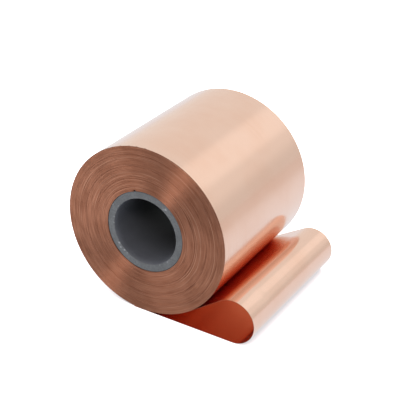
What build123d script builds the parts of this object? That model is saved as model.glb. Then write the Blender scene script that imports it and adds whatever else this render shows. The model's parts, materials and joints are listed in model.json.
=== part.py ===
"""Coil of copper strip, wound on a plastic core tube and lying on its side.

All sizes are in millimetres. The coil's axis runs along +Y, +Z is up and the floor is z = 0.
The origin is the point on the floor under the coil's axis, halfway along the coil.
The strip's free end leaves the coil at the lower right (+X), loops over and runs back along
the floor under the coil, whose weight holds it there.
"""
import os
from math import atan2, cos, sin, sqrt

from build123d import *

# ---- Driving dimensions -------------------------------------------------------------------

coil_outer_dia = 193.0      # over the outermost turn
strip_width = 187.0         # the strip's width, which is the coil's length
strip_thickness = 0.2

core_outer_dia = 93.0       # the first turn is wound tight on this
core_bore_dia = 76.0        # takes a 3 inch mandrel
core_recess = 0.5           # how far each end of the tube sits inside the coil's end
core_chamfer = 0.4          # on all four edges of the tube

# The free end lies a little askew: its loop is lower at the back (+Y) and reaches further.
front_loop_height = 51.0    # floor to the top of the loop
front_straight_run = 45.4   # straight stretch between the coil and the loop
back_loop_height = 48.8
back_straight_run = 58.6
end_past_axis = 12.0        # how far the free end runs past the line under the axis
pinch_gap = 0.1             # between the free end and the turns that rest on it

# Turns that wandered and lie a little below both ends of the coil. Each band has its place,
# as a share of the way from the core to the outermost turn, its radial width and its depth.
sunk_bands = (
    (0.10, 0.6, 0.2),
    (0.29, 1.2, 0.5),
    (0.33, 0.6, 0.3),
    (0.56, 0.8, 0.4),
    (0.82, 0.6, 0.2),
)

# ---- Derived dimensions -------------------------------------------------------------------

coil_radius = coil_outer_dia / 2
core_radius = core_outer_dia / 2
bore_radius = core_bore_dia / 2
build_up = coil_radius - core_radius
half_width = strip_width / 2
core_length = strip_width - 2 * core_recess
axis_height = coil_radius + strip_thickness + pinch_gap

coil_axis = Axis((0, 0, axis_height), (0, 1, 0))
end_section = Plane(origin=(0, 0, axis_height), x_dir=(0, 1, 0), z_dir=(1, 0, 0))


class FreeEnd:
    """The free end's outline at one end of the coil, seen along the axis.

    The straight stretch is in line with the outermost turn and with the loop, which bend
    opposite ways, so it is their crossing tangent. Its length sets how far apart they are.
    """

    def __init__(self, loop_height, straight_run):
        self.radius = loop_height / 2
        self.inner_radius = self.radius - strip_thickness
        radii_apart = coil_radius + self.inner_radius
        drop = axis_height - self.radius
        self.x = sqrt(radii_apart**2 + straight_run**2 - drop**2)
        # The strip lifts off the coil this far round from straight down, and climbs at
        # this slope.
        self.slope = atan2(self.x, drop) - atan2(straight_run, radii_apart)

    def on_coil(self, radius):
        """Point at this distance from the coil's axis, where the strip lifts off."""
        return (radius * sin(self.slope), axis_height - radius * cos(self.slope))

    def on_loop(self, radius):
        """Point at this distance from the loop's centre, where the straight stretch ends."""
        return (self.x - radius * sin(self.slope), self.radius + radius * cos(self.slope))

    def nose(self, radius):
        """Rightmost point of the loop's circle of this radius."""
        return (self.x + radius, self.radius)


front = FreeEnd(front_loop_height, front_straight_run)
back = FreeEnd(back_loop_height, back_straight_run)

# ---- Core tube ----------------------------------------------------------------------------

with BuildPart() as core_tube:
    with BuildSketch(end_section):
        with Locations((0, (core_radius + bore_radius) / 2)):
            Rectangle(core_length, core_radius - bore_radius)
    revolve(axis=coil_axis)
    tube_edges = core_tube.edges().filter_by(GeomType.CIRCLE)
    chamfer(tube_edges, core_chamfer)

core_tube.part.label = "core_tube"

# ---- Copper strip: the wound turns and the free end, one piece ----------------------------

with BuildPart() as copper_strip:
    # The turns, from the core's outside to the outermost turn.
    with BuildSketch(end_section):
        with Locations((0, core_radius + build_up / 2)):
            Rectangle(strip_width, build_up)
        for place, band_width, depth in sunk_bands:
            band_radius = core_radius + place * build_up
            for side in (-1, 1):
                with Locations((side * half_width, band_radius)):
                    Rectangle(2 * depth, band_width, mode=Mode.SUBTRACT)
    revolve(axis=coil_axis)

    # The free end, off the coil and over the loop down to the floor.
    for outline, y in ((front, -half_width), (back, half_width)):
        with BuildSketch(Plane.XZ.offset(-y)):
            with BuildLine():
                lower_run = Line(
                    outline.on_coil(coil_radius),
                    outline.on_loop(outline.inner_radius),
                )
                inner_bend = ThreePointArc(
                    lower_run @ 1,
                    outline.nose(outline.inner_radius),
                    (outline.x, strip_thickness),
                )
                loop_foot = Line(inner_bend @ 1, (outline.x, 0))
                outer_bend = ThreePointArc(
                    loop_foot @ 1,
                    outline.nose(outline.radius),
                    outline.on_loop(outline.radius),
                )
                Polyline(
                    outer_bend @ 1,
                    outline.on_coil(coil_radius - strip_thickness),
                    lower_run @ 0,
                )
            make_face()
    loft(ruled=True)

    # The flat rest of it, from the loop back along the floor to its cut end.
    with BuildSketch(Plane.XY):
        with BuildLine():
            Polyline(
                (-end_past_axis, -half_width),
                (front.x, -half_width),
                (back.x, half_width),
                (-end_past_axis, half_width),
                close=True,
            )
        make_face()
    extrude(amount=strip_thickness)

copper_strip.part.label = "copper_strip"

# ---- Files --------------------------------------------------------------------------------

os.makedirs("parts", exist_ok=True)
export_step(core_tube.part, "parts/core_tube.step")
export_step(copper_strip.part, "parts/copper_strip.step")
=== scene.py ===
"""Looks of a coil of thin copper strip, wound on a plastic core tube and lying on its side.

The coil's axis runs along +Y and the floor is z = 0. The strip's free end leaves the coil at
the lower right (+X), loops over and runs back along the floor under the coil. The front of
the coil is its -Y end. All sizes are in metres.
"""

import json
from math import atan2, ceil, cos, pi, radians, sin, sqrt, tau

import bpy
import numpy as np
from bpy.props import FloatProperty, FloatVectorProperty, IntProperty, PointerProperty
from mathutils import Matrix, Vector


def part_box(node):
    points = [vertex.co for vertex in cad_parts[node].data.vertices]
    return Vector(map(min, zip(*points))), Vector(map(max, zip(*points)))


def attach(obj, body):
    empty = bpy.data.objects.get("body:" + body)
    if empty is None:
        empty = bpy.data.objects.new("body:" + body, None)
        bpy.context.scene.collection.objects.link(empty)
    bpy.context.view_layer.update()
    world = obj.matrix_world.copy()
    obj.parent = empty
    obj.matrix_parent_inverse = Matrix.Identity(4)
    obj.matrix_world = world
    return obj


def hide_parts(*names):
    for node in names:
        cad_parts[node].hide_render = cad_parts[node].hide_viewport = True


bl_info = {
    "name": "Copper strip coil",
    "version": (1, 0, 0),
    "blender": (4, 5, 0),
    "location": "3D View > Sidebar > Strip coil",
    "description": "Dresses a packed coil of copper strip with its turns, free end and core tube",
    "category": "Object",
}

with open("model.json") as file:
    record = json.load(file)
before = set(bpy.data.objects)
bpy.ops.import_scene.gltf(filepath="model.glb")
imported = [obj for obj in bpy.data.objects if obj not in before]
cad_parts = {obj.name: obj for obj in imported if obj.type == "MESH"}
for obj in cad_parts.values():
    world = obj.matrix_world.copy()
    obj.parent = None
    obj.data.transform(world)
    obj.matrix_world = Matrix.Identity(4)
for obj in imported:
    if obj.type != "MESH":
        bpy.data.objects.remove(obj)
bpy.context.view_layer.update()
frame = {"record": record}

MM = 0.001

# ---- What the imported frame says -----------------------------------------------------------

BODY = "root"
STRIP_NODE = "copper_strip"
CORE_NODE = "core_tube"

STRIP_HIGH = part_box(STRIP_NODE)[1]
CORE_LOW, CORE_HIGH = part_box(CORE_NODE)
BORE_MOUNT = next(m for m in frame["record"]["mounts"] if m["name"] == "core_bore")

AXIS_HEIGHT = BORE_MOUNT["pos_m"][2]
BORE_RADIUS = BORE_MOUNT["dims"]["r_mm"] * MM
CORE_RADIUS = (CORE_HIGH.z - CORE_LOW.z) / 2
CORE_HALF_LENGTH = CORE_HIGH.y
COIL_RADIUS = STRIP_HIGH.z - AXIS_HEIGHT
HALF_WIDTH = STRIP_HIGH.y


# ---- Sizes and colours that a user would change -------------------------------------------


def length(name, description, millimetres):
    """A length property with its default in millimetres."""
    return FloatProperty(
        name=name,
        description=description,
        default=millimetres * MM,
        subtype="DISTANCE",
        unit="LENGTH",
    )


def colour(name, description, red, green, blue):
    """A colour property."""
    return FloatVectorProperty(
        name=name, description=description, default=(red, green, blue), subtype="COLOR"
    )


def share(name, description, default):
    """A property from 0 to 1."""
    return FloatProperty(
        name=name, description=description, default=default, min=0, max=1, subtype="FACTOR"
    )


class CoilSizes(bpy.types.PropertyGroup):
    strip_thickness: length("Strip thickness", "Gauge of the copper strip", 0.2)
    front_loop_height: length("Front loop height", "Floor to the loop's top, at the front", 51)
    back_loop_height: length("Back loop height", "Floor to the loop's top, at the back", 48.8)
    front_straight_run: length(
        "Front straight run", "Straight stretch from the coil to the loop, at the front", 45.4
    )
    back_straight_run: length(
        "Back straight run", "Straight stretch from the coil to the loop, at the back", 58.6
    )
    end_past_axis: length(
        "End past axis", "How far the free end runs past the line under the coil's axis", 12
    )
    whole_turns: IntProperty(
        name="Whole turns",
        description="Whole turns wound on the core, before the last part of a turn",
        default=249,
        min=20,
    )
    start_angle: FloatProperty(
        name="Start angle",
        description="Where round the core the strip's inner end lies, from +X",
        default=radians(106),
        subtype="ANGLE",
    )
    steps_a_turn: IntProperty(
        name="Steps a turn",
        description="Flat facets that make up one turn",
        default=96,
        min=24,
    )
    wander: length("Wander", "How far the turns stray below the coil's ends", 0.1)
    slack: length("Slack", "How far the loop's sheet sinks between its stiffer stretches", 0.25)


class CopperLook(bpy.types.PropertyGroup):
    sheet_colour: colour("Sheet", "Rolled face of the strip", 0.88, 0.57, 0.45)
    tarnish_colour: colour("Tarnish", "Faint tarnish on the rolled face", 0.86, 0.53, 0.405)
    # Painted shade: a redder, darker copper for the face inside the loop, where the copper mostly mirrors
    # itself.
    loop_shade_colour: colour("Handled", "Redder face of the free end, inside the loop", 0.8, 0.457, 0.34)
    # Painted shade: the slit-edge colours are far darker than the copper, for the light lost in the gaps
    # between the turns.
    edge_colour: colour("Slit edges", "Slit edges of the turns", 0.36, 0.145, 0.085)
    pale_edge_colour: colour("Pale edges", "Turns whose edges are rubbed bright", 0.44, 0.20, 0.125)
    dark_edge_colour: colour("Dark edges", "Turns whose edges have darkened", 0.29, 0.108, 0.06)
    sheet_roughness: share("Sheet roughness", "Roughness of the rolled face", 0.165)
    edge_roughness: share("Edge roughness", "Roughness of the slit edges", 0.52)


class CoreLook(bpy.types.PropertyGroup):
    # Painted shade: the bore is near black deep inside and paler towards its mouths, where light reaches
    # in.
    deep_bore_shade_colour: colour("Plastic", "Plastic deep inside the tube", 0.02, 0.019, 0.02)
    mouth_light_colour: colour("Scuffed", "Bore near its mouths, where mandrels rub", 0.125, 0.124, 0.14)
    sawn_colour: colour("Sawn plastic", "Plastic where the saw has cut it", 0.117, 0.113, 0.116)
    # Painted shade: near black for the shade in the crack between the core and the copper.
    crack_shade_colour: colour("Grime", "Dirt in the crack between the core and the copper", 0.02, 0.016, 0.014)
    burr_colour: colour("Burr", "Whitened plastic of the saw's burrs", 0.34, 0.33, 0.34)


class StudioLook(bpy.types.PropertyGroup):
    air_colour: colour("Air", "Light that comes from behind the coil", 0.89, 0.957, 0.948)
    front_colour: colour("Front air", "Light that comes from the camera's side", 0.9, 0.95, 0.98)
    floor_colour: colour("Floor", "Pale studio floor, pinkish in shadow", 1.0, 0.925, 0.93)
    near_mirrored_colour: colour("Mirrored floor", "Floor by the coil, in the copper", 0.866, 0.961, 1.02)
    far_mirrored_colour: colour("Far mirrored floor", "Floor far to the right", 0.73, 0.73, 0.70)
    key_power: FloatProperty(
        name="Key light",
        description="Power of the soft box that faces the coil's front end",
        default=25.0,
        min=0,
        unit="POWER",
    )
    overhead_power: FloatProperty(
        name="Overhead light",
        description="Power of the soft box above the coil",
        default=5.0,
        min=0,
        unit="POWER",
    )


# ---- Mesh helpers -------------------------------------------------------------------------


def grid_faces(rows, columns, first=0):
    """Quads between neighbouring rows of points, the first of which has this index."""
    faces = []
    for row in range(rows - 1):
        here = first + row * columns
        there = here + columns
        for column in range(columns - 1):
            faces.append((here + column, there + column, there + column + 1, here + column + 1))
    return faces


class PieceMesh:
    """Points, their place across and along the strip, and faces with a material each."""

    def __init__(self):
        self.points = []
        self.places = []
        self.faces = []
        self.smooth = []
        self.material = []

    def add_points(self, points, places):
        first = len(self.points)
        self.points.extend(tuple(float(v) for v in point) for point in points)
        self.places.extend(tuple(float(v) for v in place) for place in places)
        return first

    def add_faces(self, faces, smooth=False, material=0):
        self.faces.extend(faces)
        self.smooth.extend([smooth] * len(faces))
        self.material.extend([material] * len(faces))

    def make(self, name, materials):
        """Mesh object whose UV map holds the places, in metres."""
        mesh = bpy.data.meshes.new(name)
        mesh.from_pydata(self.points, [], self.faces)
        mesh.polygons.foreach_set("use_smooth", self.smooth)
        mesh.polygons.foreach_set("material_index", self.material)
        uv_layer = mesh.uv_layers.new(name="across_along")
        corners = np.empty(len(mesh.loops), dtype=np.int32)
        mesh.loops.foreach_get("vertex_index", corners)
        uv_layer.data.foreach_set("uv", np.array(self.places)[corners].ravel())
        for material in materials:
            mesh.materials.append(material)
        mesh.update()
        piece = bpy.data.objects.new(name, mesh)
        bpy.context.scene.collection.objects.link(piece)
        return piece


def paint(piece, name, values):
    """Put a value on each of the piece's points, for its material to read."""
    attribute = piece.data.attributes.new(name, "FLOAT", "POINT")
    attribute.data.foreach_set("value", values)


def hump(value, middle, half_width):
    """Smooth hump of height 1 at the middle, gone at about twice the half width."""
    return np.exp(-(((np.asarray(value) - middle) / half_width) ** 2))


def smooth_random(place, seed):
    """Smooth random wander from -1 to 1, with about one swing for each whole number."""
    knots = np.random.default_rng(seed).uniform(-1, 1, 4096)
    whole = np.floor(place).astype(int)
    part = place - whole
    ease = part * part * (3 - 2 * part)
    return knots[whole % 4096] * (1 - ease) + knots[(whole + 1) % 4096] * ease


# ---- Node helpers -------------------------------------------------------------------------


def new_material(name):
    """Empty node material, its tree and its Principled shader."""
    material = bpy.data.materials.new(name)
    material.use_nodes = True
    tree = material.node_tree
    tree.nodes.clear()
    output = tree.nodes.new("ShaderNodeOutputMaterial")
    shader = tree.nodes.new("ShaderNodeBsdfPrincipled")
    tree.links.new(shader.outputs["BSDF"], output.inputs["Surface"])
    return material, tree, shader


def feed(tree, socket, value):
    """Link an output to a socket, or set the socket to a number, vector or colour."""
    if isinstance(value, bpy.types.NodeSocket):
        tree.links.new(value, socket)
    elif socket.type == "RGBA":
        socket.default_value = (*value, 1)
    else:
        socket.default_value = value


def maths(tree, operation, first, second=0.0):
    """Result of an operation on one or two values."""
    node = tree.nodes.new("ShaderNodeMath")
    node.operation = operation
    feed(tree, node.inputs[0], first)
    feed(tree, node.inputs[1], second)
    return node.outputs["Value"]


def spread(tree, value, from_low, from_high, low=0.0, high=1.0):
    """Value mapped from one range to another with soft ends, clamped."""
    node = tree.nodes.new("ShaderNodeMapRange")
    node.interpolation_type = "SMOOTHSTEP"
    feed(tree, node.inputs["From Min"], from_low)
    feed(tree, node.inputs["From Max"], from_high)
    feed(tree, node.inputs["To Min"], low)
    feed(tree, node.inputs["To Max"], high)
    tree.links.new(value, node.inputs["Value"])
    return node.outputs["Result"]


def blend_colours(tree, factor, first, second):
    """The first colour at factor 0, and the second at 1."""
    node = tree.nodes.new("ShaderNodeMix")
    node.data_type = "RGBA"
    feed(tree, node.inputs["Factor"], factor)
    feed(tree, node.inputs[6], first)
    feed(tree, node.inputs[7], second)
    return node.outputs[2]


def component(tree, vector, axis):
    """One component of a vector: X, Y or Z."""
    node = tree.nodes.new("ShaderNodeSeparateXYZ")
    tree.links.new(vector, node.inputs["Vector"])
    return node.outputs[axis]


def reach(tree, vector, direction):
    """How far a vector reaches in a direction."""
    node = tree.nodes.new("ShaderNodeVectorMath")
    node.operation = "DOT_PRODUCT"
    tree.links.new(vector, node.inputs[0])
    node.inputs[1].default_value = direction
    return node.outputs["Value"]


def painted(tree, name):
    """Value that paint() put on the piece's points under this name."""
    node = tree.nodes.new("ShaderNodeAttribute")
    node.attribute_name = name
    return node.outputs["Fac"]


def noise(tree, vector, scale, detail=2.0, roughness=0.5):
    """Soft random value round 0.5, with so many repeats for each unit of the vector."""
    node = tree.nodes.new("ShaderNodeTexNoise")
    node.inputs["Scale"].default_value = scale
    node.inputs["Detail"].default_value = detail
    node.inputs["Roughness"].default_value = roughness
    tree.links.new(vector, node.inputs["Vector"])
    return node.outputs["Fac"]


def object_coordinates(tree):
    """Coordinates fixed to the piece, in metres."""
    return tree.nodes.new("ShaderNodeTexCoord").outputs["Object"]


def strip_coordinates(tree, across_scale, along_scale):
    """Place across and along the strip, with so many repeats a metre each way."""
    uv = tree.nodes.new("ShaderNodeUVMap")
    uv.uv_map = "across_along"
    mapping = tree.nodes.new("ShaderNodeMapping")
    mapping.inputs["Scale"].default_value = (across_scale, along_scale, 1)
    tree.links.new(uv.outputs["UV"], mapping.inputs["Vector"])
    return mapping.outputs["Vector"]


def ring_coordinates(tree, radial_scale, round_scale):
    """Place on a coil's end: quick changes with the radius and slow ones round the ring."""
    uv = tree.nodes.new("ShaderNodeUVMap")
    uv.uv_map = "across_along"
    radius = component(tree, uv.outputs["UV"], "X")
    place = object_coordinates(tree)
    joined = tree.nodes.new("ShaderNodeCombineXYZ")
    tree.links.new(maths(tree, "MULTIPLY", radius, radial_scale), joined.inputs["X"])
    for axis, into in (("X", "Y"), ("Z", "Z")):
        scaled = maths(tree, "MULTIPLY", component(tree, place, axis), round_scale)
        tree.links.new(scaled, joined.inputs[into])
    return joined.outputs["Vector"]


def add_bump(tree, shader, height, strength, distance):
    """Fine relief whose height follows a value from 0 to 1, up to this distance in metres."""
    node = tree.nodes.new("ShaderNodeBump")
    node.inputs["Strength"].default_value = strength
    node.inputs["Distance"].default_value = distance
    tree.links.new(height, node.inputs["Height"])
    tree.links.new(node.outputs["Normal"], shader.inputs["Normal"])


def add_grain(tree, shader, amount):
    """Stretches highlights across the grain of the strip."""
    tangent = tree.nodes.new("ShaderNodeTangent")
    tangent.direction_type = "UV_MAP"
    tangent.uv_map = "across_along"
    tree.links.new(tangent.outputs["Tangent"], shader.inputs["Tangent"])
    shader.inputs["Anisotropic"].default_value = amount


# ---- Materials ----------------------------------------------------------------------------


def rolled_copper(look):
    """Bright rolled copper: streaked along the strip, with faint tarnish and roll marks."""
    material, tree, shader = new_material("rolled_copper")
    shader.inputs["Metallic"].default_value = 1.0
    streaks = noise(tree, strip_coordinates(tree, 700, 6), 1.0, 4)
    fine = noise(tree, strip_coordinates(tree, 4200, 30), 1.0)
    clouds = noise(tree, object_coordinates(tree), 18.0, 3)
    tarnish = maths(
        tree, "MULTIPLY", spread(tree, clouds, 0.4, 0.7), spread(tree, streaks, 0.3, 0.7, 0.4, 1)
    )
    colours = blend_colours(tree, tarnish, look.sheet_colour, look.tarnish_colour)
    # Painted shade: the face inside the loop turns to the redder, darker loop shade colour.
    colours = blend_colours(tree, painted(tree, "loop_shade"), colours, look.loop_shade_colour)
    tree.links.new(colours, shader.inputs["Base Color"])
    rough = look.sheet_roughness
    tree.links.new(
        spread(tree, streaks, 0.3, 0.7, rough * 0.88, rough * 1.14), shader.inputs["Roughness"]
    )
    add_grain(tree, shader, 0.3)
    add_bump(tree, shader, fine, 0.1, 0.02 * MM)
    return material


def slit_edges(look):
    """Slit edges of the turns: copper darkened as painted shade of the gaps between the turns, in fine
    rings, some rubbed bright, some darkened.
    """
    material, tree, shader = new_material("slit_edges")
    shader.inputs["Metallic"].default_value = 1.0
    each_turn = noise(tree, strip_coordinates(tree, 2600, 9), 1.0, 2, 0.6)
    rings = noise(tree, ring_coordinates(tree, 1500, 3), 1.0, 3, 0.6)
    lines = noise(tree, ring_coordinates(tree, 900, 4), 1.0, 0)
    arcs = noise(tree, ring_coordinates(tree, 1300, 45), 1.0, 1)
    patches = noise(tree, object_coordinates(tree), 26.0)
    smudges = noise(tree, object_coordinates(tree), 48.0, 2)
    dark = maths(
        tree, "MULTIPLY", spread(tree, each_turn, 0.42, 0.68), spread(tree, patches, 0.3, 0.6, 0.4, 1)
    )
    pale = maths(
        tree, "MULTIPLY", spread(tree, rings, 0.5, 0.75), spread(tree, patches, 0.4, 0.65, 0.5, 1)
    )
    colours = blend_colours(tree, dark, look.edge_colour, look.dark_edge_colour)
    colours = blend_colours(
        tree, spread(tree, smudges, 0.42, 0.7, 0, 0.75), colours, look.dark_edge_colour
    )
    colours = blend_colours(tree, pale, colours, look.pale_edge_colour)
    rubbed = maths(
        tree, "MULTIPLY", spread(tree, lines, 0.66, 0.78), spread(tree, arcs, 0.3, 0.6)
    )
    colours = blend_colours(tree, rubbed, colours, look.pale_edge_colour)
    tree.links.new(colours, shader.inputs["Base Color"])
    rough = look.edge_roughness
    tree.links.new(
        spread(tree, arcs, 0.32, 0.68, rough * 1.18, rough * 0.82), shader.inputs["Roughness"]
    )
    add_grain(tree, shader, 0.95)
    add_bump(tree, shader, rings, 0.2, 0.06 * MM)
    return material


def bore_plastic(look):
    """Dark drawn plastic with faint lines along the tube, paler towards its mouths and near black deep
    inside, as painted shade of the bore.
    """
    material, tree, shader = new_material("bore_plastic")
    lines = noise(tree, strip_coordinates(tree, 900, 8), 1.0, 3)
    clouds = noise(tree, object_coordinates(tree), 60.0, 2)
    from_middle = maths(tree, "ABSOLUTE", component(tree, object_coordinates(tree), "Y"))
    # Painted shade: the bore goes from the paler colour at its mouths to near black deep inside.
    shaded_from_mouth, lit_from_mouth = 70 * MM, 4 * MM
    mouth_light = spread(
        tree,
        from_middle,
        CORE_HALF_LENGTH - shaded_from_mouth,
        CORE_HALF_LENGTH - lit_from_mouth,
    )
    mouth_light = maths(tree, "MULTIPLY", mouth_light, spread(tree, clouds, 0.3, 0.7, 0.88, 1))
    colours = blend_colours(tree, mouth_light, look.deep_bore_shade_colour, look.mouth_light_colour)
    tree.links.new(colours, shader.inputs["Base Color"])
    tree.links.new(spread(tree, lines, 0.3, 0.7, 0.42, 0.5), shader.inputs["Roughness"])
    shader.inputs["Specular IOR Level"].default_value = 0.25
    add_bump(tree, shader, lines, 0.06, 0.05 * MM)
    return material


def sawn_plastic(look):
    """Paler plastic of the tube's sawn ends, scored by the saw and whitened on its burrs."""
    material, tree, shader = new_material("sawn_plastic")
    place = object_coordinates(tree)
    saw_slant = radians(28)
    scored = tree.nodes.new("ShaderNodeMapping")
    scored.inputs["Rotation"].default_value = (0, saw_slant, 0)
    scored.inputs["Scale"].default_value = (1500, 1, 60)
    tree.links.new(place, scored.inputs["Vector"])
    marks = noise(tree, scored.outputs["Vector"], 1.0, 2)
    mottle = noise(tree, place, 420.0, 3)
    clouds = noise(tree, place, 110.0, 2)
    deep = tuple(0.6 * c for c in look.sawn_colour)
    worn = maths(
        tree, "MULTIPLY", spread(tree, mottle, 0.3, 0.6), spread(tree, clouds, 0.3, 0.65, 0.5, 1)
    )
    colours = blend_colours(tree, worn, deep, look.sawn_colour)
    # Whitened burrs, and painted shade on the ring's outer edge, in the crack by the copper.
    for name, shade in (("burr", look.burr_colour), ("crack_shade", look.crack_shade_colour)):
        colours = blend_colours(tree, painted(tree, name), colours, shade)
    tree.links.new(colours, shader.inputs["Base Color"])
    tree.links.new(spread(tree, mottle, 0.3, 0.7, 0.5, 0.68), shader.inputs["Roughness"])
    add_bump(tree, shader, marks, 0.35, 0.12 * MM)
    return material


def white_paper(look):
    """Overexposed white paper: far brighter than white, and in shade only in close corners."""
    material, tree, shader = new_material("white_paper")
    grain = noise(tree, object_coordinates(tree), 900.0)
    plain = tuple(0.16 * c for c in look.floor_colour)
    darker = tuple(0.15 * c for c in look.floor_colour)
    colours = blend_colours(tree, spread(tree, grain, 0.3, 0.7), plain, darker)
    tree.links.new(colours, shader.inputs["Base Color"])
    shader.inputs["Roughness"].default_value = 1.0
    shader.inputs["Specular IOR Level"].default_value = 0.0
    shader.inputs["Emission Color"].default_value = (*look.floor_colour, 1)
    openness = tree.nodes.new("ShaderNodeAmbientOcclusion")
    openness.samples = 16
    shade_reach, overexposure = 150 * MM, 2.3
    openness.inputs["Distance"].default_value = shade_reach
    overexposed = maths(tree, "MULTIPLY", openness.outputs["AO"], overexposure)
    tree.links.new(overexposed, shader.inputs["Emission Strength"])
    return material


def mirrored_paper(look):
    """The paper as the copper mirrors it: bluish by the coil, dimmer far to the right, dark
    towards the front, where little light falls, and bright to the left of the front."""
    material, tree, shader = new_material("mirrored_paper")
    place = object_coordinates(tree)
    right = (cos(radians(30)), sin(radians(30)), 0)
    left_of_front = (-0.6, -0.8, 0)
    far_right = spread(tree, reach(tree, place, right), 0.2, 0.9)
    colours = blend_colours(tree, far_right, look.near_mirrored_colour, look.far_mirrored_colour)
    lit = spread(tree, component(tree, place, "Y"), -0.6, -0.12, 0.15, 1.0)
    colours = blend_colours(tree, lit, (0, 0, 0), colours)
    tree.links.new(colours, shader.inputs["Emission Color"])
    strength = spread(tree, reach(tree, place, left_of_front), 0.08, 0.35, 0.86, 2.2)
    tree.links.new(strength, shader.inputs["Emission Strength"])
    shader.inputs["Base Color"].default_value = (0.16, 0.165, 0.18, 1)
    shader.inputs["Roughness"].default_value = 1.0
    shader.inputs["Specular IOR Level"].default_value = 0.0
    return material


# ---- The free end's outline and the winding -----------------------------------------------


class Outline:
    """The free end at one place across the strip, seen along the coil's axis.

    Its straight stretch is the crossing tangent of the coil and the loop, so the length of
    that stretch sets how far apart they are.
    """

    def __init__(self, sizes, back_share):
        """back_share is 0 at the strip's front edge and 1 at its back edge."""

        def between(front, back):
            return front + (back - front) * back_share

        self.thickness = sizes.strip_thickness
        self.end_x = -sizes.end_past_axis
        self.radius = between(sizes.front_loop_height, sizes.back_loop_height) / 2
        self.straight_run = between(sizes.front_straight_run, sizes.back_straight_run)
        self.inner_radius = self.radius - self.thickness
        radii_apart = COIL_RADIUS + self.inner_radius
        drop = AXIS_HEIGHT - self.radius
        self.x = sqrt(radii_apart**2 + self.straight_run**2 - drop**2)
        self.slope = atan2(self.x, drop) - atan2(self.straight_run, radii_apart)
        # Where round the coil's axis the strip lifts off, from +X.
        self.lift_off = self.slope - pi / 2


class Winding:
    """The spiral of the strip from its inner end on the core to where it lifts off."""

    def __init__(self, sizes, outline):
        self.thickness = sizes.strip_thickness
        self.start = sizes.start_angle
        self.turns = sizes.whole_turns + (outline.lift_off - self.start) / tau % 1
        self.pitch = (COIL_RADIUS - CORE_RADIUS) / self.turns

    def angle(self, turn):
        return self.start + tau * turn

    def outer_radius(self, turn):
        """Radius of the strip's outer face after so many turns."""
        return COIL_RADIUS - self.pitch * (self.turns - turn)

    def wound_length(self, turn):
        return tau * turn * (CORE_RADIUS + self.pitch * turn / 2)


# Bands of turns that lie a little deeper than their neighbours: share of the way from the
# core to the outermost turn, radial width and depth in millimetres.
SUNK_BANDS = (
    (0.10, 0.6, 0.12),
    (0.29, 1.2, 0.25),
    (0.33, 0.6, 0.16),
    (0.56, 0.8, 0.20),
    (0.82, 0.6, 0.12),
)


# ---- Pieces -------------------------------------------------------------------------------


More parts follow.
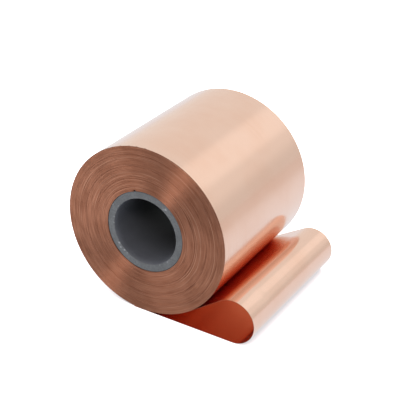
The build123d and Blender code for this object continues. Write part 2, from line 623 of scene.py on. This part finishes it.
class COIL_OT_wound_turns(bpy.types.Operator):
    """Make both ends of the coil, where the slit edges of the wound turns show"""

    bl_idname = "coil.wound_turns"
    bl_label = "Wound turns"

    def execute(self, context):
        scene = context.scene
        sizes = scene.coil_sizes
        material = slit_edges(scene.copper_look)
        for name, side, back_share, seed in (("turns_front", -1, 0, 11), ("turns_back", 1, 1, 29)):
            winding = Winding(sizes, Outline(sizes, back_share))
            piece = self.make_end(sizes, winding, side, seed).make(name, [material])
            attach(piece, BODY)
            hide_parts(STRIP_NODE)
        return {"FINISHED"}

    # How the turns stray: turns to a swing, and share of the whole wander.
    SWINGS = ((11, 0.22), (1.6, 0.2), (0.23, 0.08))
    MEAN_WANDER = 0.5
    # Dent in the first turns, where the strip's inner end is caught under them.
    DENT_HALF_LENGTH = 0.9 * MM
    DENT_HALF_WIDTH = 1.1 * MM
    DENT_DEPTH = 2.4 * MM
    # Extra points of each turn, in millimetres round the core from the inner end's place.
    CLOSE_POINTS = (0.3, 0.6, 1.0, 1.6)

    def turn_shares(self, sizes):
        """Shares of each turn at which it has points: even, and closer by the inner end."""
        even = np.arange(sizes.steps_a_turn) / sizes.steps_a_turn
        close = np.array(self.CLOSE_POINTS) * MM / (tau * CORE_RADIUS)
        return np.concatenate((even[:1], close, even[1:], 1 - close[::-1]))

    def edge_depth(self, sizes, winding, turn, seed):
        """How far below the coil's end the strip's slit edge lies after so many turns."""
        stray = self.MEAN_WANDER
        for draw, (swing, part) in enumerate(self.SWINGS):
            stray = stray + part * smooth_random(turn / swing, seed + draw)
        depth = sizes.wander * stray
        radius = winding.outer_radius(turn)
        for place, width, sunk in SUNK_BANDS:
            middle = CORE_RADIUS + place * (COIL_RADIUS - CORE_RADIUS)
            depth = depth + sunk * MM * hump(radius, middle, width / 2 * MM)
        from_end = ((turn + 0.5) % 1 - 0.5) * tau * radius
        dent = hump(from_end, 0, self.DENT_HALF_LENGTH)
        dent = dent * hump(radius, CORE_RADIUS, self.DENT_HALF_WIDTH)
        return depth + self.DENT_DEPTH * dent

    def make_end(self, sizes, winding, side, seed):
        """A closed ring: on top the spiral of the strip's edge, with a small step from each
        turn to the next, and under it plain walls and a plain bottom that never show."""
        ring_depth = 3 * MM
        # Share of the strip's thickness that the rounding of each corner takes off its edge.
        rounding = 0.1
        shares = self.turn_shares(sizes)
        steps = len(shares)
        turn = (np.arange(ceil(winding.turns))[:, None] + shares).ravel()
        turn = turn[turn <= winding.turns - 1]
        count = len(turn)
        angle = winding.angle(turn)
        y = side * (HALF_WIDTH - self.edge_depth(sizes, winding, turn, seed))
        bottom = np.full(steps + 1, side * (HALF_WIDTH - ring_depth))
        mesh = PieceMesh()

        def add_rail(radius, y, which):
            points = np.column_stack(
                (radius * np.cos(angle[which]), y, AXIS_HEIGHT + radius * np.sin(angle[which]))
            )
            return mesh.add_points(
                points, np.column_stack((radius, winding.wound_length(turn[which])))
            )

        every = np.arange(count)
        first_turn = every[: steps + 1]
        last_turn = every[-steps - 1 :]
        outer_radius = winding.outer_radius(turn)
        inner = add_rail(outer_radius - winding.thickness * (1 - rounding), y, every)
        outer = add_rail(outer_radius - winding.thickness * rounding, y, every)
        inner_low = add_rail(outer_radius[first_turn] - winding.thickness, bottom, first_turn)
        outer_low = add_rail(outer_radius[last_turn], bottom, last_turn)
        last = last_turn[0]
        faces = []
        for step in range(count - 1):
            faces.append((inner + step, inner + step + 1, outer + step + 1, outer + step))
        for step in range(count - 1 - steps):
            up = inner + step + steps
            faces.append((outer + step, outer + step + 1, up + 1, up))
        for step in range(steps):
            low = inner_low + step
            faces.append((inner + step + 1, inner + step, low, low + 1))
            rail, low = outer + last + step, outer_low + step
            faces.append((rail, rail + 1, low + 1, low))
            # The bottom joins the rails at the same angle, and takes in the strip's ends.
            turned = (last + step) % steps
            below = [inner_low + turned, inner_low + turned + 1, low + 1, low]
            if turned == 0:
                below.insert(0, inner_low + steps)
            if step == steps - 1:
                below.insert(3, outer_low)
                below[2], below[3] = below[3], below[2]
            faces.append(tuple(below[::-1]))
        # The strip's cut inner end, and the start of the turn that the free end goes on from.
        faces.append((inner, outer, inner + steps, inner_low + steps, inner_low))
        final = count - 1
        faces.append((outer + last, outer_low, outer_low + steps, outer + final, inner + final))
        if side < 0:
            faces = [face[::-1] for face in faces]
        mesh.add_faces(faces)
        return mesh


class COIL_OT_free_end(bpy.types.Operator):
    """Make the outermost turn and the free end that loops over on the floor"""

    bl_idname = "coil.free_end"
    bl_label = "Outer turn and free end"

    # Places round the coil, in degrees from +X, where the front edge of the outermost turn
    # is nicked, and how deep each nick is in millimetres.
    NICKS = ((90.5, 1.0), (96.5, 1.5), (102, 1.1), (108.5, 1.3), (114.5, 0.9))
    NICK_HALF_WIDTH = 0.6 * MM
    # The nicks push in the front edge's column of points and, less and less, the next two.
    NICKED_COLUMNS = 3

    # The loop's dent: how far from the front edge, in millimetres, it starts, is deepest and
    # ends, how deep it is, and where round the loop it lies, from +X.
    DENT_START, DENT_DEEPEST, DENT_END = 12, 34, 42
    DENT_DEPTH = 0.45 * MM
    DENT_ANGLE, DENT_HALF_ANGLE = radians(54), radians(17)

    # How far along the free end past the coil the redder, darker painted shade of the face inside the
    # loop takes to set in.
    LOOP_SHADE_AFTER = 30 * MM

    def execute(self, context):
        scene = context.scene
        mesh, loop_shade = self.make_ribbon(scene.coil_sizes)
        materials = [rolled_copper(scene.copper_look), bpy.data.materials["slit_edges"]]
        piece = mesh.make("free_end", materials)
        paint(piece, "loop_shade", loop_shade)
        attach(piece, BODY)
        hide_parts(STRIP_NODE)
        return {"FINISHED"}

    def turn_shares(self, sizes, outline):
        """Shares of the outermost turn at which it has rows: even, and close by the nicks."""
        steps = sizes.steps_a_turn
        shares = list(np.arange(-2, steps + 1) / steps)
        for degrees_round, depth in self.NICKS:
            middle = (radians(degrees_round) - outline.lift_off) / tau % 1
            for away in (-1.4, -0.9, -0.5, -0.2, 0.2, 0.5, 0.9, 1.4):
                shares.append(middle + away * MM / (tau * COIL_RADIUS))
        return np.sort(shares)

    def line(self, sizes, outline, winding, shares):
        """Points and normals of the strip's outer face at one place across it.

        The outer face is the one that shows on the coil, and it lies inside the loop.
        Also gives where round the loop's centre each point is, from +X, or not a number off
        the loop."""
        steps_run, steps_bend, steps_floor = 14, 90, 20
        angle = outline.lift_off - tau * (1 - shares)
        radius = COIL_RADIUS - winding.pitch * (1 - shares)
        turn_x = radius * np.cos(angle)
        turn_z = AXIS_HEIGHT + radius * np.sin(angle)
        run = outline.straight_run * np.arange(1, steps_run + 1) / steps_run
        run_x = COIL_RADIUS * cos(outline.lift_off) + run * cos(outline.slope)
        run_z = AXIS_HEIGHT + COIL_RADIUS * sin(outline.lift_off) + run * sin(outline.slope)
        bend = (pi + outline.slope) * np.arange(1, steps_bend + 1) / steps_bend
        out = outline.lift_off + pi - bend
        bend_x = outline.x + outline.inner_radius * np.cos(out)
        bend_z = outline.radius + outline.inner_radius * np.sin(out)
        back = np.arange(1, steps_floor + 1) / steps_floor
        floor_x = outline.x + (outline.end_x - outline.x) * back
        floor_z = np.full(steps_floor, outline.thickness)
        points = np.column_stack(
            (
                np.concatenate((turn_x, run_x, bend_x, floor_x)),
                np.concatenate((turn_z, run_z, bend_z, floor_z)),
            )
        )
        facing = np.concatenate(
            (
                angle,
                np.full(steps_run, outline.lift_off),
                out + pi,
                np.full(steps_floor, pi / 2),
            )
        )
        turned = np.concatenate(
            (np.full(len(shares) + steps_run, np.nan), out, np.full(steps_floor, np.nan))
        )
        return points, np.column_stack((np.cos(facing), np.sin(facing))), turned

    def sag(self, sizes, along, across, turned):
        """How far the loop's sheet sinks towards its inside: a slow sag, and one shallow
        dent near the front, which deepens slowly and ends more quickly."""
        sag_middle, sag_spread = radians(50), 0.75
        swing_along, swing_across = 45 * MM, 130 * MM
        ends = np.clip(np.cos((turned - sag_middle) * sag_spread), 0, 1)
        slow = 0.5 + 0.5 * smooth_random(along / swing_along + across / swing_across + 40, 5)
        from_front = (across + HALF_WIDTH) / MM
        deepening = (from_front - self.DENT_START) / (self.DENT_DEEPEST - self.DENT_START)
        ending = (self.DENT_END - from_front) / (self.DENT_END - self.DENT_DEEPEST)
        dent = np.clip(deepening, 0, 1) * np.clip(ending, 0, 1)
        dent = dent * hump(turned, self.DENT_ANGLE, self.DENT_HALF_ANGLE)
        return np.nan_to_num(sizes.slack * ends * slow + self.DENT_DEPTH * dent)

    def make_ribbon(self, sizes):
        """The strip as one closed ribbon, and how much painted shade of the loop's inside each of its
        points takes.
        """
        near_edge = np.array((0, 0.25, 0.6, 1.1, 2, 4)) * MM
        inside = np.linspace(-HALF_WIDTH + 7 * MM, HALF_WIDTH - 7 * MM, 72)
        across = np.concatenate((near_edge - HALF_WIDTH, inside, (HALF_WIDTH - near_edge)[::-1]))
        columns = len(across)
        front = Outline(sizes, 0)
        shares = self.turn_shares(sizes, front)
        faces_of = []
        for y in across:
            outline = Outline(sizes, (y + HALF_WIDTH) / (2 * HALF_WIDTH))
            points, normals, turned = self.line(sizes, outline, Winding(sizes, outline), shares)
            along = np.concatenate(([0], np.cumsum(np.hypot(*np.diff(points, axis=0).T))))
            points = points + normals * self.sag(sizes, along, y, turned)[:, None]
            faces_of.append((points, points - normals * outline.thickness, along))
        rows = len(along)
        nick = np.zeros(rows)
        front_angle = front.lift_off + tau * shares
        for degrees_round, depth in self.NICKS:
            away = (front_angle - radians(degrees_round)) * COIL_RADIUS
            away = (away + pi * COIL_RADIUS) % (tau * COIL_RADIUS) - pi * COIL_RADIUS
            nick[: len(shares)] += depth * MM * hump(away, 0, self.NICK_HALF_WIDTH)
        lift_off = faces_of[0][2][len(shares) - 1]
        mesh = PieceMesh()

        def grid(which):
            points = []
            places = []
            for row in range(rows):
                for column, y in enumerate(across):
                    x, z = faces_of[column][which][row]
                    pushed = nick[row] * max(0, 1 - column / self.NICKED_COLUMNS)
                    points.append((x, y + pushed, z))
                    places.append((y, faces_of[column][2][row]))
            return points, places

        outer_points, outer_places = grid(0)
        inner_points, inner_places = grid(1)
        outer = mesh.add_points(outer_points, outer_places)
        inner = mesh.add_points(inner_points, inner_places)
        over = [face[::-1] for face in grid_faces(rows, columns, outer)]
        mesh.add_faces(over, smooth=True)
        mesh.add_faces(grid_faces(rows, columns, inner), smooth=True)
        # The slit edges and the cut ends have points of their own, so that they shade flat.
        rim = [row * columns for row in range(rows)]
        far_rim = [row * columns + columns - 1 for row in range(rows)]
        start = list(range(columns))
        finish = list(range((rows - 1) * columns, rows * columns))
        for edge, flipped in ((rim, False), (far_rim, True), (start, True), (finish, False)):
            places = [outer_places[i] for i in edge]
            top = mesh.add_points([outer_points[i] for i in edge], places)
            low = mesh.add_points([inner_points[i] for i in edge], places)
            wall = []
            for i in range(len(edge) - 1):
                face = (top + i, top + i + 1, low + i + 1, low + i)
                wall.append(face[::-1] if flipped else face)
            mesh.add_faces(wall, material=1)
        # Painted shade: past the lift-off, the face inside the loop takes the loop shade colour.
        loop_shade = np.zeros(len(mesh.points))
        past_lift_off = np.array(outer_places)[:, 1] - lift_off
        loop_shade[outer:inner] = np.clip(past_lift_off / self.LOOP_SHADE_AFTER, 0, 1)
        return mesh, loop_shade


class COIL_OT_core_tube(bpy.types.Operator):
    """Make the plastic core tube with its sawn ends and their burrs"""

    bl_idname = "coil.core_tube"
    bl_label = "Core tube"

    # Burrs on the front end: degrees round from +X, radius and size in millimetres, height.
    FRONT_BURRS = (
        (54, 42.5, 1.6, 0.30),
        (57, 40.2, 1.0, 0.22),
        (152, 45.2, 0.9, 0.30),
        (148, 39.2, 0.8, 0.20),
        (170, 38.9, 0.9, 0.25),
        (181, 38.7, 0.8, 0.22),
        (216, 39.3, 1.4, 0.35),
        (223, 41.0, 1.2, 0.28),
        (230, 39.0, 1.3, 0.35),
        (236, 38.8, 0.9, 0.25),
        (300, 38.8, 0.8, 0.22),
        (317, 39.0, 0.9, 0.22),
        (329, 38.8, 0.7, 0.20),
    )
    BACK_BURRS = (
        (20, 39.0, 1.2, 0.25),
        (95, 43.0, 1.4, 0.25),
        (140, 38.9, 1.0, 0.30),
        (205, 45.0, 1.0, 0.25),
        (262, 39.1, 1.3, 0.30),
        (310, 38.8, 0.8, 0.22),
    )

    def execute(self, context):
        look = context.scene.core_look
        mesh, burr, crack_shade = self.make_tube()
        piece = mesh.make("core_tube_sawn", [bore_plastic(look), sawn_plastic(look)])
        paint(piece, "burr", burr)
        paint(piece, "crack_shade", crack_shade)
        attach(piece, BODY)
        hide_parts(CORE_NODE)
        return {"FINISHED"}

    def make_tube(self):
        """The tube's section turned round its axis, closed, with its ends roughened.

        Also gives how much of a burr and of painted crack shade there is at each point."""
        bevel = 0.4 * MM
        highest_burr, white_burr = 0.4 * MM, 0.25 * MM
        ragged, lip_width = 0.14 * MM, 0.8 * MM
        crack_shade_width = 1.5 * bevel
        segments = 300
        half = CORE_HALF_LENGTH
        ring_radii = np.linspace(CORE_RADIUS - bevel, BORE_RADIUS + bevel, 10)
        bore_places = np.linspace(-half + bevel, half - bevel, 25)
        section = [(CORE_RADIUS, half - bevel, False), (CORE_RADIUS, -half + bevel, False)]
        section += [(radius, -half, True) for radius in ring_radii]
        section += [(BORE_RADIUS, y, False) for y in bore_places]
        section += [(radius, half, True) for radius in ring_radii[::-1]]
        turned = np.arange(segments) * tau / segments
        mesh = PieceMesh()
        burr = []
        crack_shade = []
        for radius, y, sawn in section:
            rise = np.zeros(segments)
            inward = np.zeros(segments)
            if sawn:
                burrs = self.FRONT_BURRS if y < 0 else self.BACK_BURRS
                for degrees_round, burr_radius, size, height in burrs:
                    across = (turned - radians(degrees_round) + pi) % tau - pi
                    away = np.hypot(across * radius, radius - burr_radius * MM) / (size * MM)
                    rise += height * MM * hump(away, 0, 0.6)
                rough = smooth_random(turned / tau * 90, 71 if y < 0 else 83)
                lip = hump(radius, BORE_RADIUS + bevel, lip_width)
                inward = ragged * rough * lip
            mesh.add_points(
                np.column_stack(
                    (
                        (radius + inward) * np.cos(turned),
                        y + np.sign(y) * np.minimum(rise, highest_burr),
                        AXIS_HEIGHT + (radius + inward) * np.sin(turned),
                    )
                ),
                np.column_stack((radius * turned, np.full(segments, y))),
            )
            burr.extend(np.clip(rise / white_burr, 0, 1))
            # Painted shade on the outer edge of the sawn end, in the crack by the copper.
            crack_shade.extend([float(radius > CORE_RADIUS - crack_shade_width)] * segments)
        rows = len(section)
        for row in range(rows):
            after = (row + 1) % rows
            sawn = section[row][2] or section[after][2]
            faces = []
            for i in range(segments):
                j = (i + 1) % segments
                here, there = row * segments, after * segments
                faces.append((here + i, here + j, there + j, there + i))
            mesh.add_faces(faces, smooth=not sawn, material=1 if sawn else 0)
        return mesh, burr, crack_shade


# ---- Stage --------------------------------------------------------------------------------


class COIL_OT_studio(bpy.types.Operator):
    """Set up the floor, the soft light and the camera"""

    bl_idname = "coil.studio"
    bl_label = "Studio"

    def execute(self, context):
        scene = context.scene
        self.make_floor(scene)
        self.make_air(scene)
        look = scene.studio_look
        self.soft_box(
            "key", direction=(0.2, -0.74, 0.64), distance=2.5, size=0.5, power=look.key_power
        )
        self.soft_box(
            "overhead", direction=(0.1, 0, 1), distance=1.8, size=0.9, power=look.overhead_power
        )
        self.make_camera(scene)
        scene.view_settings.view_transform = "Standard"
        scene.cycles.glossy_bounces = 32
        scene.cycles.max_bounces = 40
        scene.cycles.caustics_reflective = False
        return {"FINISHED"}

    def make_floor(self, scene):
        """White paper for the eye, on the floor and up the far walls, and a hair above the
        floor the dimmer paper that lights the coil and shows in its mirror."""
        half, height, hair = 9.0, 5.0, 0.02 * MM
        corners = [(-half, -half), (half, -half), (half, half), (-half, half)]
        low = [(x, y, 0) for x, y in corners]
        high = [(x, y, height) for x, y in corners]
        walls = [(i, (i + 1) % 4, (i + 1) % 4 + 4, i + 4) for i in range(4)]
        lifted = [(x, y, hair) for x, y in corners]
        white, mirrored = white_paper(scene.studio_look), mirrored_paper(scene.studio_look)
        for name, points, faces, material in (
            ("studio_floor", low, [(0, 1, 2, 3)], white),
            ("studio_walls", low + high, walls, white),
            ("mirrored_floor", lifted, [(0, 1, 2, 3)], mirrored),
        ):
            mesh = bpy.data.meshes.new(name)
            mesh.from_pydata(points, [], faces)
            mesh.materials.append(material)
            paper = bpy.data.objects.new(name, mesh)
            scene.collection.objects.link(paper)
            seen = material is white
            paper.visible_camera = seen
            paper.visible_glossy = not seen
            paper.visible_diffuse = not seen
            paper.visible_shadow = False

    def make_air(self, scene):
        """Soft light from all round: dim from the front but for its left, a little dimmer low
        on the right, and with one brighter card behind the coil and to its right."""
        look = scene.studio_look
        world = bpy.data.worlds.new("studio_air")
        scene.world = world
        world.use_nodes = True
        tree = world.node_tree
        direction = tree.nodes.new("ShaderNodeTexCoord").outputs["Generated"]
        x, y, z = (component(tree, direction, axis) for axis in "XYZ")
        behind = spread(tree, y, -0.35, 0.25)
        lit_front = tree.nodes.new("ShaderNodeVectorMath")
        lit_front.operation = "SCALE"
        lit_front.inputs[0].default_value = look.front_colour
        bright_left, dim_front = 2.2, 0.27
        front_strength = spread(tree, x, -0.85, -0.25, bright_left, dim_front)
        tree.links.new(front_strength, lit_front.inputs["Scale"])
        air = blend_colours(tree, behind, lit_front.outputs["Vector"], look.air_colour)
        card_azimuth, card_height = radians(19), radians(33)
        card_direction = (
            sin(card_azimuth) * cos(card_height),
            cos(card_azimuth) * cos(card_height),
            sin(card_height),
        )
        edge_out, edge_in, card_strength = cos(radians(16)), cos(radians(8)), 0.17
        card = reach(tree, direction, card_direction)
        glow = spread(tree, card, edge_out, edge_in, 0.0, card_strength)
        dimming = 0.155
        low_right = maths(
            tree,
            "MULTIPLY",
            spread(tree, z, 0.1, 0.3, 1.0, 0.0),
            spread(tree, x, -0.1, 0.5, 0.0, dimming),
        )
        low = maths(tree, "SUBTRACT", 1.0, low_right)
        background = tree.nodes["Background"]
        tree.links.new(air, background.inputs["Color"])
        tree.links.new(maths(tree, "ADD", low, glow), background.inputs["Strength"])

    def soft_box(self, name, direction, distance, size, power):
        """Square soft box that far from the coil's middle, facing it."""
        middle = Vector((0, 0, AXIS_HEIGHT))
        place = middle + Vector(direction).normalized() * distance
        light = bpy.data.lights.new(name, "AREA")
        light.size = size
        light.energy = power
        holder = bpy.data.objects.new(name, light)
        holder.location = place
        holder.rotation_mode = "QUATERNION"
        holder.rotation_quaternion = (middle - place).to_track_quat("-Z", "Y")
        bpy.context.scene.collection.objects.link(holder)

    def make_camera(self, scene):
        """A camera in front of the coil, to its right and above it, a little rolled."""
        azimuth, elevation, roll = radians(29.24), radians(28.26), radians(2.38)
        distance, aim_across, aim_up = 1.0891, 0.05649, 0.03613
        across = Vector((cos(azimuth), sin(azimuth), 0))
        back = Vector(
            (sin(azimuth) * cos(elevation), -cos(azimuth) * cos(elevation), sin(elevation))
        )
        up = back.cross(across)
        aim = Vector((0, -HALF_WIDTH, AXIS_HEIGHT)) + aim_across * across + aim_up * up
        right = across * cos(roll) + up * sin(roll)
        top = up * cos(roll) - across * sin(roll)
        camera = bpy.data.cameras.new("camera")
        camera.lens = 94.0
        camera.sensor_width = 36.0
        camera.clip_start = 0.01
        camera.clip_end = 100.0
        holder = bpy.data.objects.new("camera", camera)
        scene.collection.objects.link(holder)
        turn = Matrix((right, top, back)).transposed().to_4x4()
        holder.matrix_world = Matrix.Translation(aim + back * distance) @ turn
        scene.camera = holder


# ---- Panel and registration ---------------------------------------------------------------

PIECE_OPERATORS = (COIL_OT_wound_turns, COIL_OT_free_end, COIL_OT_core_tube, COIL_OT_studio)
GROUPS = (
    ("coil_sizes", CoilSizes),
    ("copper_look", CopperLook),
    ("core_look", CoreLook),
    ("studio_look", StudioLook),
)


class COIL_PT_panel(bpy.types.Panel):
    """Sizes, colours and pieces of the strip coil"""

    bl_idname = "COIL_PT_panel"
    bl_label = "Copper strip coil"
    bl_space_type = "VIEW_3D"
    bl_region_type = "UI"
    bl_category = "Strip coil"

    def draw(self, context):
        layout = self.layout
        for group_name, group in GROUPS:
            box = layout.box()
            for prop in group.__annotations__:
                box.prop(getattr(context.scene, group_name), prop)
        for operator in PIECE_OPERATORS:
            layout.operator(operator.bl_idname)


CLASSES = (*(group for name, group in GROUPS), *PIECE_OPERATORS, COIL_PT_panel)


def register():
    """Add the classes and the scene's groups of sizes and looks."""
    for each in CLASSES:
        bpy.utils.register_class(each)
    for group_name, group in GROUPS:
        setattr(bpy.types.Scene, group_name, PointerProperty(type=group))


def unregister():
    """Take away what register() added."""
    for group_name, group in GROUPS:
        delattr(bpy.types.Scene, group_name)
    for each in reversed(CLASSES):
        bpy.utils.unregister_class(each)


def main():
    """Make every piece and the stage."""
    register()
    for operator in (
        bpy.ops.coil.wound_turns,
        bpy.ops.coil.free_end,
        bpy.ops.coil.core_tube,
        bpy.ops.coil.studio,
    ):
        operator()


if __name__ == "__main__":
    main()
